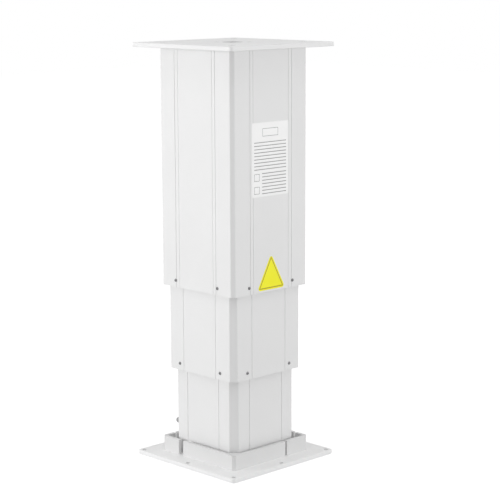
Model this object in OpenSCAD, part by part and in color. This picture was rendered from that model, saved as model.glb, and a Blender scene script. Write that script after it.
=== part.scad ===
// Three-stage electric lifting column, standing partly raised.
// Three square tubes telescope upwards from a bolted base plate. A motor in the
// foot turns a solid spindle. A hollow spindle is keyed to it and turns as well,
// so the middle and the outer tube rise by equal amounts.
// Millimetres. +Z is up, the origin is the centre of the base plate's underside
// and the front face looks along -Y.

/* [Travel] */
// Height of each sliding stage above its lowest position
raised = 70; // [0:1:130]
// Air left between parts that meet when the column is fully lowered
stop_gap = 2; // [1:0.5:5]
// Height of the outer tube's foot above the middle tube's when lowered
outer_step = 50.5; // [44:0.5:70]

/* [Plates] */
// Side of the square base plate
base_w = 200; // [190:1:240]
// Thickness of the base plate
base_t = 6; // [5:0.5:10]
// Side of the square top plate
top_w = 200; // [180:1:240]
// Thickness of the top plate
top_t = 6; // [5:0.5:10]
// Corner radius of both plates
plate_r = 5; // [3:0.5:7]
// Bevel along the plates' edges
plate_bevel = 0.6; // [0.2:0.1:1]
// Distance from a plate's edges to its bolt holes
bolt_inset = 7.5; // [7:0.5:9]
// Diameter of the bolt holes
bolt_d = 6.6; // [5:0.1:8]
// Diameter of the hole in the middle of the top plate
top_bore_d = 30; // [20:1:32]

/* [Tubes] */
// Width of the outer tube across its flats
outer_w = 146.5; // [145:0.5:152]
// Width of the outer tube's corner bevel, measured along the flats
outer_bevel = 4.6; // [3.6:0.1:7]
// Rounding beside the outer tube's corner bevels
outer_edge_r = 2; // [0.5:0.1:3]
// Rounding beside the other tubes' corner bevels
edge_r = 0.8; // [0.3:0.1:2]
// Rounding beside the corner bevels inside the tubes
inside_edge_r = 0.4; // [0.2:0.1:1]
// Length of the outer tube
outer_len = 334.5; // [310:0.5:400]
// Wall of the outer tube
outer_wall = 2.8; // [2.4:0.1:3.2]
// Wall of the middle tube
middle_wall = 2.8; // [2.4:0.1:3.2]
// Wall of the inner tube
inner_wall = 3; // [2.4:0.1:3.6]
// Air between the outer and the middle tube's walls
middle_gap = 2.45; // [2:0.05:3.5]
// Air between the middle and the inner tube's walls
inner_gap = 3.2; // [2.2:0.1:4]

/* [Face grooves] */
// Width of the grooves down each face
groove_w = 1.6; // [1:0.1:2.4]
// Depth of the grooves
groove_depth = 0.5; // [0.3:0.1:1.4]
// Distance from the outer tube's sides to its grooves
outer_groove_side = 33; // [28:0.1:44]
// Distance from the middle tube's sides to its grooves
middle_groove_side = 35.3; // [26:0.1:42]
// Distance from the inner tube's sides to its grooves
inner_groove_side = 30; // [22:0.1:40]
// Distance from the outer tube's sides to the hairline beside each groove
hairline_side = 39.2; // [36:0.1:52]
// Width of the hairline beside each groove of the outer tube
hairline_w = 0.6; // [0.3:0.1:1]
// Depth of the hairline
hairline_depth = 0.4; // [0.2:0.1:0.8]

/* [Screw ports] */
// Radius of the round screw port in each corner of a tube
port_r = 4.2; // [3.8:0.1:4.5]
// Bore of the screw ports
port_bore_d = 5; // [4:0.1:5.4]
// Distance from a corner's outer face to the port's centre
port_inset = 4.8; // [4.6:0.1:5.4]
// Width of the slot that opens each port to the inside
port_slot = 1.6; // [1:0.1:2.4]
// Air between a port and the corner of the tube that slides past it
port_gap = 0.6; // [0.4:0.1:1.2]
// Head diameter of the screws that go into the ports
port_head_d = 11; // [9:0.5:12]
// Length of the screws that go into the ports
port_screw_len = 25; // [16:1:40]
// Radial play of a screw in its threaded hole
thread_play = 0.05; // [0.02:0.01:0.1]
// Radial play of a screw in its clearance hole
clear_play = 0.2; // [0.1:0.05:0.5]

/* [Glides] */
// Running gap between a glide and the tube that it guides
glide_gap = 0.3; // [0.2:0.05:0.5]
// Width of a glide pad
glide_w = 28; // [20:1:29]
// Height of a glide pad
glide_h = 40; // [30:1:44]
// Distance from a tube's end to its glides
glide_inset = 1.5; // [0.5:0.5:3]
// Lead-in at the ends of a glide pad
glide_lead = 1; // [0.5:0.1:1.2]
// Distance from the outer tube's sides to its glides and screws
outer_glide_side = 30.8; // [28:0.1:38]
// Distance from the middle tube's sides to its glides and screws
middle_glide_side = 26.8; // [26.5:0.1:34]
// Distance from the inner tube's sides to its glides
inner_glide_side = 24; // [23.8:0.1:30]
// Height of the glide screws above a tube's foot
glide_screw_z = 9.6; // [8:0.1:14]
// Shank diameter of the glide screws
glide_screw_d = 2.5; // [2:0.1:3]
// Head diameter of the glide screws
glide_head_d = 4.4; // [4:0.1:6]
// Head height of the glide screws
glide_head_h = 1.3; // [0.9:0.1:1.8]
// Diameter of the peg behind each upper glide
peg_d = 8; // [5:0.5:12]
// Radial play of a peg in its hole
peg_play = 0.1; // [0.05:0.05:0.2]

/* [Collar] */
// Air between the inner tube and the collar
collar_gap = 7.1; // [4:0.1:9]
// Thickness of the collar's angles
collar_t = 5; // [4.5:0.5:7]
// Height of the collar
collar_h = 21.5; // [16:0.5:30]
// Width of the bevel on the collar's corners, measured along its faces
collar_bevel = 3.9; // [1:0.1:6]
// Leg of the left angle on the left face
left_leg = 35; // [26:1:44]
// Leg of the right angle on the front face
right_leg = 43; // [26:1:48]
// Leg of the left and right angles on the two rear faces
rear_leg = 21; // [19:1:40]
// Open slit in the left face
left_slit = 9; // [2:0.5:12]
// Open slit in the front face
front_slit = 3.5; // [2:0.5:12]
// Open slits in the two rear faces
rear_slit = 4; // [2:0.5:12]
// Distance from a corner to the screws of the long angles
long_screw_x = 60; // [40:1:80]
// Distance from a corner to the screws of the short angles
short_screw_x = 14; // [12:0.5:16]
// Shank diameter of the collar's screws
collar_screw_d = 3; // [2.5:0.1:3.5]
// Head diameter of the collar's screws
collar_head_d = 6; // [5:0.1:7]
// Length of the collar's screws
collar_screw_len = 18; // [12:1:20]

/* [Gearbox] */
// Module of the gears: pitch diameter for each tooth
gear_module = 1.5; // [1.25:0.25:2]
// Teeth on the motor's pinion
pinion_teeth = 14; // [13:1:16]
// Face width of the gears
gear_b = 10; // [6:0.5:12]
// Play between meshing teeth, measured along the pitch circle
tooth_play = 0.24; // [0.15:0.01:0.4]
// Air between the housing and the inner tube's walls
housing_gap = 4; // [3:0.5:6]
// Air between the housing and the inner tube's screw ports
housing_port_gap = 2; // [1:0.5:4]
// Distance from the housing's sides to its screws
box_screw_side = 7; // [5:0.5:9]
// Thickness of the housing under the gears
housing_floor = 10.5; // [10:0.5:14]
// Air round the gears
gear_air = 1.5; // [1:0.1:2]
// Thickness of the gearbox lid
lid_t = 10; // [10:0.5:14]
// Shank diameter of the gearbox screws
box_screw_d = 5; // [4:0.1:6]
// Head diameter of the gearbox screws
box_head_d = 8.5; // [7:0.1:10]
// Air between the motor and the lift tube beside it
motor_gap = 4; // [2:0.5:6]
// Air between the motor and the inner tube's screw port beside it
motor_port_gap = 2; // [1:0.5:4]
// Length of the motor
motor_len = 104; // [60:1:140]
// Height of the cap on the motor
motor_cap_h = 10; // [6:0.5:16]
// Diameter of the motor shaft
shaft_d = 6; // [5:0.1:8]

/* [Spindles] */
// Outer diameter of the drive spindle's thread
spindle_d = 14; // [13:0.1:15]
// Diameter of the drive spindle's journals
journal_d = 12; // [10:0.1:12.5]
// Width of the keyway along the drive spindle
keyway_w = 4; // [3:0.1:5]
// Depth of the keyway
keyway_depth = 2; // [1.5:0.1:2.5]
// Air round the key in the keyway
key_gap = 0.3; // [0.2:0.05:0.5]
// Outer diameter of the hollow spindle's thread
hollow_d = 22; // [21.5:0.1:23]
// Diameter of the hollow spindle's neck, inside its bearing
neck_d = 20; // [19:0.1:20.5]
// Air between the two spindles
spindle_gap = 0.75; // [0.5:0.05:1]
// Outer diameter of the spindle bearings
bearing_d = 28; // [24:0.5:32]
// Width of the spindle bearings
bearing_b = 8; // [6:0.5:9]
// Outer diameter of the hollow spindle's bearing
hollow_bearing_d = 37; // [36.8:0.1:38]
// Width of the hollow spindle's bearing
hollow_bearing_b = 9; // [7:0.5:12]
// Radial play of a shaft in its bearing or nut
run_play = 0.05; // [0.02:0.01:0.08]
// Height of the spindle nuts
nut_h = 22; // [16:1:30]
// Height of the upper nut's spigot, and of the room under the hollow spindle's bearing
nut_spigot = 4; // [3:0.5:8]
// Air under the lower nut when the column is lowered
nut_gap = 4; // [2:0.5:8]

/* [Lift tubes] */
// Outer diameter of the lift tube under the top plate
upper_lift_d = 34; // [33:0.1:34.6]
// Inner diameter of the lift tube under the top plate
upper_lift_bore = 26; // [25:0.1:28]
// Outer diameter of the lift tube under the bridge plate
lower_lift_d = 44; // [42:0.5:45]
// Thickness of the bridge plate on the middle tube
bridge_t = 8; // [6:0.5:12]
// Thickness of the lift tubes' flanges
flange_t = 4; // [3:0.5:6]
// Width of the lift tubes' flanges beyond the tube
flange_rim = 11; // [10:0.5:13]
// Shank diameter of the flange screws
flange_screw_d = 4; // [3:0.1:4.4]
// Head diameter of the flange screws
flange_head_d = 8; // [6:0.1:8.4]

/* [Cable gland] */
// Height of the cable gland
gland_z = 43.5; // [43:0.5:60]
// Distance from the inner tube's side to the gland
gland_side = 21; // [19:0.5:26]
// Diameter of the gland's flange
gland_flange_d = 12; // [11:0.5:13]
// Thickness of the gland's flange
gland_flange_t = 2.5; // [1.5:0.5:4]
// Diameter of the gland's nose
gland_nose_d = 8.5; // [7:0.5:10]
// How far the gland stands out from the tube
gland_len = 15.5; // [10:0.5:24]
// Diameter of the gland's stem in the wall
gland_stem_d = 8; // [7:0.5:9]
// Diameter of the cable hole
cable_d = 5; // [3:0.5:6]
// Width of the gland's nut across its flats
gland_nut_w = 12; // [11:0.5:12.5]
// Thickness of the gland's nut
gland_nut_t = 2.5; // [1.5:0.1:2.5]
// Air between the gland and the middle tube when lowered
gland_air = 9.5; // [2:0.5:14]

/* [Hidden] */
$fn = 64;
eps = 0.01;
root2 = sqrt(2);

// Widths, and distances from the axis to the corner bevels
middle_w = outer_w - 2 * (outer_wall + middle_gap);
inner_w = middle_w - 2 * (middle_wall + inner_gap);
outer_diag = (outer_w - outer_bevel) / root2;
port_reach = port_inset + port_r + port_gap;
middle_diag = outer_diag - port_reach;
inner_diag = middle_diag - port_reach;

// Distances from the axis to the ports' centres, along X and along Y
outer_port = (outer_diag - port_inset) / root2;
middle_port = (middle_diag - port_inset) / root2;
inner_port = (inner_diag - port_inset) / root2;

// Distances from the middle of a face
outer_groove_x = outer_w / 2 - outer_groove_side;
middle_groove_x = middle_w / 2 - middle_groove_side;
inner_groove_x = inner_w / 2 - inner_groove_side;
hairline_x = outer_w / 2 - hairline_side;
outer_glide_x = outer_w / 2 - outer_glide_side;
middle_glide_x = middle_w / 2 - middle_glide_side;
inner_glide_x = inner_w / 2 - inner_glide_side;
gland_x = inner_w / 2 - gland_side;

// Thickness of the glides
outer_glide_t = middle_gap - glide_gap;
middle_glide_t = inner_gap - glide_gap;

// Heights of the gearbox
lid_z = base_t + housing_floor + gear_air + gear_b + gear_air;
lid_top = lid_z + lid_t;
gear_z = base_t + housing_floor + gear_air;

// Heights of the tubes
middle_low = gland_z + gland_flange_d / 2 + gland_air;
middle_z = middle_low + raised;
outer_z = middle_z + outer_step + raised;
top_z = outer_z + outer_len;
middle_top = top_z - raised - flange_t - stop_gap - bridge_t;
middle_len = middle_top - middle_z;
inner_top = middle_top - raised - stop_gap;

// Heights inside the drive
lower_nut_z = lid_top + nut_gap + raised;
lower_lift_z = lower_nut_z + nut_h;
hollow_bearing_z = lower_lift_z + nut_spigot;
hollow_shoulder_z = hollow_bearing_z + hollow_bearing_b;
hollow_top = middle_top + bridge_t - stop_gap;
upper_nut_z = hollow_shoulder_z + stop_gap + raised;
upper_lift_z = upper_nut_z + nut_h;
spindle_top = inner_top - 2 * stop_gap;

// Places across the gearbox. The motor fills the room between the lift tube and a
// screw port, and the spindle gear has as many teeth as reach it.
housing_w = inner_w - 2 * (inner_wall + housing_gap);
housing_diag = inner_diag - port_inset - port_r - housing_port_gap;
box_screw_r = housing_w / 2 - box_screw_side;
motor_near = lower_lift_d / 2 + motor_gap;
motor_far = inner_diag - port_inset - port_r - motor_port_gap;
gear_teeth = floor((motor_near + motor_far) / gear_module) - pinion_teeth;
gear_centres = gear_module * (gear_teeth + pinion_teeth) / 2;
gear_tip_r = gear_module * (gear_teeth / 2 + 1);
pinion_tip_r = gear_module * (pinion_teeth / 2 + 1);
motor_xy = gear_centres / root2;
motor_d = 2 * (gear_centres - motor_near);
motor_bore_r = pinion_tip_r + gear_air / 3;

// Collar
collar_in = inner_w / 2 + collar_gap;
collar_out = collar_in + collar_t;

// Inner diameter of the lift tube under the bridge plate: it holds the bearing
lower_lift_bore = hollow_bearing_d;
hollow_bore = spindle_d + 2 * spindle_gap;

// Radius of the flange screws' circles, outside each lift tube
upper_flange_r = (upper_lift_d + flange_rim) / 2;
lower_flange_r = (lower_lift_d + flange_rim) / 2;

paint = [0.93, 0.93, 0.93];
alloy = [0.78, 0.79, 0.80];
steel = [0.62, 0.63, 0.65];
black_steel = [0.16, 0.16, 0.17];
dark_steel = [0.36, 0.36, 0.37];
acetal = [0.88, 0.88, 0.86];
black_plastic = [0.12, 0.12, 0.13];
grey_plastic = [0.62, 0.62, 0.63];
bronze = [0.72, 0.55, 0.30];

// ---- Shared shapes ----

// Points of a square outline whose corners are bevelled, with the bevels' edges
// rounded. diag is the distance from the middle to the bevel.
function outline_points(w, diag, r) =
  let (bevel = w - root2 * diag, t = r * tan(22.5), a = w / 2 - r, b = w / 2 - bevel - t)
  [for (quarter = [0:3]) for (step = [0:7])
    let (first = step < 4, angle = first ? step * 15 : 45 + (step - 4) * 15)
    let (cx = first ? a : b, cy = first ? b : a)
    let (x = cx + r * cos(angle), y = cy + r * sin(angle))
    [x * cos(quarter * 90) - y * sin(quarter * 90), x * sin(quarter * 90) + y * cos(quarter * 90)]];

module outline(w, diag, r) {
  polygon(outline_points(w, diag, r));
}

// Repeats its children at the four corners of a square
module at_corners(x) {
  for (sx = [-1, 1]) for (sy = [-1, 1])
    translate([sx * x, sy * x, 0]) children();
}

// Repeats its children on all four faces; they are drawn for the front face
module on_faces() {
  for (angle = [0:90:270]) rotate(angle) children();
}

// Repeats its children twice on each face, at x to the left and right of its middle
module face_pairs(x, z) {
  on_faces() for (side = [-1, 1]) translate([side * x, 0, z]) children();
}

// A rod from y0 to y1 on the front side, lying along Y
module y_rod(d, y0, y1) {
  translate([0, y0, 0]) rotate([-90, 0, 0]) cylinder(d = d, h = y1 - y0);
}

// Section of a drawn tube with grooves and corner ports, one height long
module tube_profile(w, diag, wall, r, groove_x, port) {
  difference() {
    union() {
      difference() {
        outline(w, diag, r);
        outline(w - 2 * wall, diag - wall, inside_edge_r);
      }
      at_corners(port) circle(port_r);
    }
    at_corners(port) circle(d = port_bore_d);
    for (angle = [45:90:315]) rotate(angle)
      translate([port * root2 - port_r - 1, -port_slot / 2]) square([port_r, port_slot]);
    for (angle = [0:90:270]) rotate(angle) for (side = [-1, 1])
      translate([side * groove_x - groove_w / 2, -w / 2 - 1]) square([groove_w, groove_depth + 1]);
  }
}

// Glide pad on the front side. Its back is at y = 0 and it is t thick towards +Y.
module pad(t) {
  lead = glide_lead;
  translate([-glide_w / 2, 0, 0]) rotate([90, 0, 90]) linear_extrude(glide_w)
    polygon([[0, 0], [t - lead, 0], [t, 3 * lead], [t, glide_h - 3 * lead],
             [t - lead, glide_h], [0, glide_h]]);
}

// Countersunk hole from z = 0 upwards, with the head's seat at the bottom
module sunk_hole(d, head_d, h) {
  translate([0, 0, -eps]) cylinder(d = d + 2 * clear_play, h = h + 2 * eps);
  translate([0, 0, -eps])
    cylinder(d1 = head_d + 2 * clear_play, d2 = d + 2 * clear_play, h = (head_d - d) / 2 + eps);
}

// Countersunk socket screw, head down at z = 0
module sunk_screw(d, head_d, h) {
  difference() {
    union() {
      cylinder(d = d, h = h);
      cylinder(d1 = head_d, d2 = d, h = (head_d - d) / 2);
    }
    translate([0, 0, -eps]) cylinder(d = d * 0.7, h = (head_d - d) / 3, $fn = 6);
  }
}

// Flat plate with rounded corners and bevelled edges
module plate(w, t) {
  run = w / 2 - plate_r;
  side = w / 2;
  bevel = plate_bevel;
  section = [[-side + bevel, 0], [side - bevel, 0], [side, bevel], [side, t - bevel],
             [side - bevel, t], [-side + bevel, t], [-side, t - bevel], [-side, bevel]];
  for (angle = [0, 90]) rotate([90, 0, angle])
    translate([0, 0, -run]) linear_extrude(2 * run) polygon(section);
  at_corners(run) rotate_extrude()
    polygon([[0, 0], [plate_r - bevel, 0], [plate_r, bevel], [plate_r, t - bevel],
             [plate_r - bevel, t], [0, t]]);
}

// Bolt holes of a plate: one in each corner and one halfway along each edge
module plate_bolts(w, t) {
  reach = w / 2 - bolt_inset;
  for (x = [-reach, 0, reach]) for (y = [-reach, 0, reach])
    if (x != 0 || y != 0)
      translate([x, y, -1]) cylinder(d = bolt_d, h = t + 2);
}

// Ball bearing with a sunken ring between its races
module bearing(d, bore, b) {
  mean = (d + bore) / 4;
  half = (d - bore) / 10;
  difference() {
    cylinder(d = d, h = b);
    translate([0, 0, -1]) cylinder(d = bore, h = b + 2);
    for (z = [-1, b - 0.4]) translate([0, 0, z]) difference() {
      cylinder(r = mean + half, h = 1.4);
      cylinder(r = mean - half, h = 1.4);
    }
  }
}

// Lift tube from z = z0 up to a flange whose top is at z = z1
module lift_tube(d, bore, z0, z1, screw_r) {
  difference() {
    union() {
      translate([0, 0, z0]) cylinder(d = d, h = z1 - z0);
      translate([0, 0, z1 - flange_t]) cylinder(d = d + 2 * flange_rim, h = flange_t);
    }
    translate([0, 0, z0 - 1]) cylinder(d = bore, h = z1 - z0 + 2);
    for (angle = [45:90:315]) rotate(angle)
      translate([screw_r, 0, z1 - flange_t - 1])
        cylinder(d = flange_screw_d + 2 * thread_play, h = flange_t + 2);
  }
}

// Ring of countersunk flange screws through a plate whose top is at z = z1
module flange_screws(screw_r, z1, plate_t) {
  for (angle = [45:90:315]) rotate(angle)
    translate([screw_r, 0, z1]) mirror([0, 0, 1])
      sunk_screw(flange_screw_d, flange_head_d, plate_t + flange_t - 0.5);
}

module flange_holes(screw_r, z1, plate_t) {
  for (angle = [45:90:315]) rotate(angle)
    translate([screw_r, 0, z1]) mirror([0, 0, 1])
      sunk_hole(flange_screw_d, flange_head_d, plate_t);
}

// Angle of an involute flank at radius r, in degrees, for base radius rb
function flank_angle(r, rb) = sqrt(pow(r / rb, 2) - 1) * 180 / PI - acos(rb / r);

// Outline of a spur gear with 20 degree involute teeth; one tooth points along +X
function gear_points(teeth) =
  let (rp = gear_module * teeth / 2, rb = rp * cos(20), ra = rp + gear_module,
       rf = rp - 1.25 * gear_module, start = max(rb, rf),
       half = 90 / teeth - tooth_play / 2 / rp * 180 / PI / 2 + flank_angle(rp, rb),
       radii = [start, start + (ra - start) * 0.35, start + (ra - start) * 0.7, ra])
  [for (tooth = [0:teeth - 1]) each concat(
    [rf * [cos(tooth * 360 / teeth - half), sin(tooth * 360 / teeth - half)]],
    [for (r = radii) let (a = tooth * 360 / teeth - half + flank_angle(r, rb)) r * [cos(a), sin(a)]],
    [for (k = [3:-1:0]) let (r = radii[k], a = tooth * 360 / teeth + half - flank_angle(r, rb))
      r * [cos(a), sin(a)]],
    [rf * [cos(tooth * 360 / teeth + half), sin(tooth * 360 / teeth + half)]])];

// ---- Foot ----

module base_plate() color(paint) difference() {
  plate(base_w, base_t);
  plate_bolts(base_w, base_t);
  at_corners(inner_port) sunk_hole(port_screw_d(), port_head_d, base_t);
  collar_screw_places() sunk_hole(collar_screw_d, collar_head_d, base_t);
  for (angle = [0:90:270]) rotate(angle) translate([box_screw_r, 0, -1])
    cylinder(d = box_screw_d + 2 * thread_play, h = base_t + 2);
}

// Core of a thread-forming screw in a port
function port_screw_d() = port_bore_d - 2 * thread_play;

module collar_screw_places() {
  middle = collar_in + collar_t / 2;
  for (corner = [[-1, -1, long_screw_x], [1, 1, long_screw_x],
                 [-1, 1, short_screw_x], [1, -1, short_screw_x]]) {
    translate([corner[0] * middle, corner[1] * (collar_out - corner[2]), 0]) children();
    translate([corner[0] * (collar_out - corner[2]), corner[1] * middle, 0]) children();
  }
}

// Section of the collar. The long angles are filled inside their corner, where they
// follow the inner tube's bevel.
module collar_ring(filled) {
  difference() {
    outline(2 * collar_out, (2 * collar_out - collar_bevel) / root2, 0.4);
    if (filled) outline(2 * collar_in, inner_diag + collar_gap, edge_r);
    else square(2 * collar_in, center = true);
  }
}

// Piece of the collar inside the box from low to high, in plan
module collar_angle(low, high, filled) {
  difference() {
    translate([0, 0, base_t]) linear_extrude(collar_h) intersection() {
      collar_ring(filled);
      translate(low) square(high - low);
    }
    collar_screw_places() translate([0, 0, base_t - 1])
      cylinder(d = collar_screw_d + 2 * thread_play, h = collar_screw_len - base_t + 2);
  }
}

module collar_front_angle() color(paint)
  collar_angle([-collar_out, -collar_out],
               [collar_out - right_leg - front_slit, collar_out - left_leg - left_slit], true);

module collar_rear_angle() color(paint)
  collar_angle([rear_leg + rear_slit - collar_out, rear_leg + rear_slit - collar_out],
               [collar_out, collar_out], true);

module collar_left_angle() color(paint)
  collar_angle([-collar_out, collar_out - left_leg], [rear_leg - collar_out, collar_out], false);

module collar_right_angle() color(paint)
  collar_angle([collar_out - right_leg, -collar_out], [collar_out, rear_leg - collar_out], false);

module collar_screws() color(steel)
  collar_screw_places() sunk_screw(collar_screw_d, collar_head_d, collar_screw_len);

module inner_tube() color(paint) difference() {
  translate([0, 0, base_t]) linear_extrude(inner_top - base_t)
    tube_profile(inner_w, inner_diag, inner_wall, edge_r, inner_groove_x, inner_port);
  face_pairs(inner_glide_x, inner_top - glide_inset - glide_h / 2)
    y_rod(peg_d + 2 * peg_play, -inner_w / 2 - 1, -inner_w / 2 + inner_wall + 1);
  translate([-gland_x, 0, gland_z])
    y_rod(gland_stem_d + 2 * clear_play, inner_w / 2 - inner_wall - 1, inner_w / 2 + 1);
}

module inner_tube_screws() color(steel)
  at_corners(inner_port) sunk_screw(port_screw_d(), port_head_d, port_screw_len);

module inner_top_glides() color(acetal)
  face_pairs(inner_glide_x, inner_top - glide_inset - glide_h) {
    translate([0, -inner_w / 2, 0]) mirror([0, 1, 0]) pad(middle_glide_t);
    translate([0, 0, glide_h / 2]) y_rod(peg_d, -inner_w / 2 - eps, -inner_w / 2 + inner_wall);
  }

// ---- Gearbox and motor ----

module gearbox_holes(z, h) {
  for (angle = [0:90:270]) rotate(angle) translate([box_screw_r, 0, z - 1])
    cylinder(d = box_screw_d + 2 * clear_play, h = h + 2);
}

module gearbox_housing() color(alloy) difference() {
  translate([0, 0, base_t]) linear_extrude(lid_z - base_t) outline(housing_w, housing_diag, 3);
  translate([0, 0, base_t + housing_floor]) {
    cylinder(r = gear_tip_r + gear_air, h = lid_z);
    translate([motor_xy, motor_xy, 0]) cylinder(r = pinion_tip_r + gear_air, h = lid_z);
  }
  translate([0, 0, base_t + housing_floor - bearing_b]) cylinder(d = bearing_d, h = lid_z);
  gearbox_holes(base_t, lid_z - base_t);
}

module gearbox_lid() color(alloy) difference() {
  translate([0, 0, lid_z]) linear_extrude(lid_t) outline(housing_w, housing_diag, 3);
  translate([0, 0, lid_z - 1]) cylinder(d = bearing_d, h = bearing_b + 1);
  translate([0, 0, lid_z]) cylinder(d = spindle_d + 4, h = lid_t + 1);
  translate([motor_xy, motor_xy, lid_z - 1]) cylinder(r = motor_bore_r, h = lid_t + 2);
  gearbox_holes(lid_z, lid_t);
}

module gearbox_screws() color(steel)
  for (angle = [0:90:270]) rotate(angle) translate([box_screw_r, 0, 0]) difference() {
    union() {
      translate([0, 0, 1]) cylinder(d = box_screw_d, h = lid_top - 1);
      translate([0, 0, lid_top]) cylinder(d = box_head_d, h = box_screw_d);
    }
    translate([0, 0, lid_top + box_screw_d / 2]) cylinder(d = box_screw_d, h = box_screw_d, $fn = 6);
  }

module spindle_bearings() color(steel)
  for (z = [base_t + housing_floor - bearing_b, lid_z])
    translate([0, 0, z]) bearing(bearing_d, journal_d + 2 * run_play, bearing_b);

module motor() color(steel) difference() {
  union() {
    translate([motor_xy, motor_xy, lid_top]) cylinder(d = motor_d, h = motor_len);
    translate([motor_xy, motor_xy, lid_top - 4]) cylinder(r = motor_bore_r - thread_play, h = 5);
  }
  translate([motor_xy, motor_xy, lid_top - 5])
    cylinder(d = shaft_d + 2 * clear_play, h = motor_len / 2 + 5);
}

module motor_cap() color(black_plastic)
  translate([motor_xy, motor_xy, lid_top + motor_len]) difference() {
    cylinder(d = motor_d - 1, h = motor_cap_h);
    for (angle = [0:60:300]) rotate(angle)
      translate([motor_d * 0.3, -1.5, motor_cap_h - 3]) cube([motor_d, 3, 4]);
  }

module cable_gland() color(grey_plastic) translate([-gland_x, inner_w / 2, gland_z]) difference() {
  union() {
    y_rod(gland_flange_d, 0, gland_flange_t);
    y_rod(gland_nose_d, gland_flange_t - eps, gland_len - 2);
    translate([0, gland_len - 2, 0]) rotate([-90, 0, 0])
      cylinder(d1 = gland_nose_d, d2 = gland_nose_d - 2, h = 2);
    y_rod(gland_stem_d, -inner_wall - gland_nut_t - 0.3, eps);
  }
  y_rod(cable_d, -inner_wall - gland_nut_t - 2, gland_len + 1);
}

module gland_nut() color(grey_plastic)
  translate([-gland_x, inner_w / 2 - inner_wall, gland_z]) difference() {
    rotate([90, 0, 0]) cylinder(d = gland_nut_w / cos(30), h = gland_nut_t, $fn = 6);
    y_rod(gland_stem_d + 2 * thread_play, -gland_nut_t - 1, 1);
  }

// ---- Drive spindle and pinion ----

module drive_spindle() color(steel) difference() {
  union() {
    translate([0, 0, base_t + housing_floor - bearing_b + 0.5])
      cylinder(d = journal_d, h = lid_top - housing_floor);
    translate([0, 0, lid_z + bearing_b + 0.5])
      cylinder(d = spindle_d, h = spindle_top - lid_z - bearing_b - 0.5);
  }
  translate([spindle_d / 2 - keyway_depth, -keyway_w / 2, lid_top + stop_gap])
    cube([spindle_d, keyway_w, spindle_top]);
}

module spindle_gear() color(steel) translate([0, 0, gear_z]) difference() {
  linear_extrude(gear_b) rotate(45) polygon(gear_points(gear_teeth));
  translate([0, 0, -1]) cylinder(d = journal_d + 2 * thread_play, h = gear_b + 2);
  for (z = [-1, gear_b - 2]) translate([0, 0, z]) difference() {
    cylinder(r = gear_tip_r - 4 * gear_module, h = 3);
    cylinder(r = journal_d / 2 + 5, h = 3);
  }
  for (angle = [0:60:300]) rotate(angle)
    translate([(gear_tip_r + journal_d / 2) / 2, 0, -1]) cylinder(r = gear_tip_r / 8, h = gear_b + 2);
}

module drive_pinion() color(steel) translate([motor_xy, motor_xy, gear_z]) {
  linear_extrude(gear_b) rotate(225 + 180 / pinion_teeth) polygon(gear_points(pinion_teeth));
  cylinder(d = shaft_d, h = lid_top - gear_z + motor_len / 2 - 4);
}

// ---- Middle stage ----

module middle_tube() color(paint) difference() {
  translate([0, 0, middle_z]) linear_extrude(middle_len)
    tube_profile(middle_w, middle_diag, middle_wall, edge_r, middle_groove_x, middle_port);
  face_pairs(middle_glide_x, middle_z + glide_screw_z)
    y_rod(glide_screw_d + 2 * clear_play, -middle_w / 2 - 1, -middle_w / 2 + middle_wall + 1);
  face_pairs(middle_glide_x, middle_top - glide_inset - glide_h / 2)
    y_rod(peg_d + 2 * peg_play, -middle_w / 2 - 1, -middle_w / 2 + middle_wall + 1);
}

// Glides inside the foot of a tube
module bottom_glides(w, wall, x, z, t) {
  face_pairs(x, z + glide_inset) difference() {
    translate([0, -w / 2 + wall, 0]) pad(t);
    translate([0, 0, glide_screw_z - glide_inset])
      y_rod(glide_screw_d + 2 * thread_play, -w / 2, 0);
  }
}

// Domed socket screws through the foot of a tube into its glides
module glide_screws(w, wall, x, z, t) {
  face_pairs(x, z + glide_screw_z) translate([0, -w / 2, 0]) {
    difference() {
      rotate([90, 0, 0]) rotate_extrude() polygon(
        [[0, 0], [glide_head_d / 2, 0], [glide_head_d / 2, glide_head_h * 0.4],
         [glide_head_d * 0.42, glide_head_h * 0.75], [glide_head_d * 0.3, glide_head_h],
         [0, glide_head_h]]);
      rotate([90, 0, 0]) translate([0, 0, glide_head_h * 0.3])
        cylinder(d = glide_screw_d * 0.7, h = glide_head_h, $fn = 6);
    }
    y_rod(glide_screw_d, -eps, wall + t - 0.4);
  }
}

module middle_bottom_glides() color(acetal)
  bottom_glides(middle_w, middle_wall, middle_glide_x, middle_z, middle_glide_t);

module middle_glide_screws() color(dark_steel)
  glide_screws(middle_w, middle_wall, middle_glide_x, middle_z, middle_glide_t);

module middle_top_glides() color(acetal)
  face_pairs(middle_glide_x, middle_top - glide_inset - glide_h) {
    translate([0, -middle_w / 2, 0]) mirror([0, 1, 0]) pad(outer_glide_t);
    translate([0, 0, glide_h / 2]) y_rod(peg_d, -middle_w / 2 - eps, -middle_w / 2 + middle_wall);
  }

module bridge_plate() color(alloy) difference() {
  translate([0, 0, middle_top]) linear_extrude(bridge_t) outline(middle_w, middle_diag, edge_r);
  translate([0, 0, middle_top - 1]) cylinder(d = lower_lift_bore, h = bridge_t + 2);
  at_corners(middle_port) translate([0, 0, middle_top + bridge_t]) mirror([0, 0, 1])
    sunk_hole(port_screw_d(), port_head_d, bridge_t);
  flange_holes(lower_flange_r, middle_top + bridge_t, bridge_t);
}

module bridge_screws() color(steel)
  at_corners(middle_port) translate([0, 0, middle_top + bridge_t]) mirror([0, 0, 1])
    sunk_screw(port_screw_d(), port_head_d, port_screw_len);

module middle_lift_tube() color(steel)
  lift_tube(lower_lift_d, lower_lift_bore, lower_lift_z, middle_top, lower_flange_r);

module middle_flange_screws() color(steel)
  flange_screws(lower_flange_r, middle_top + bridge_t, bridge_t);

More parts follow.
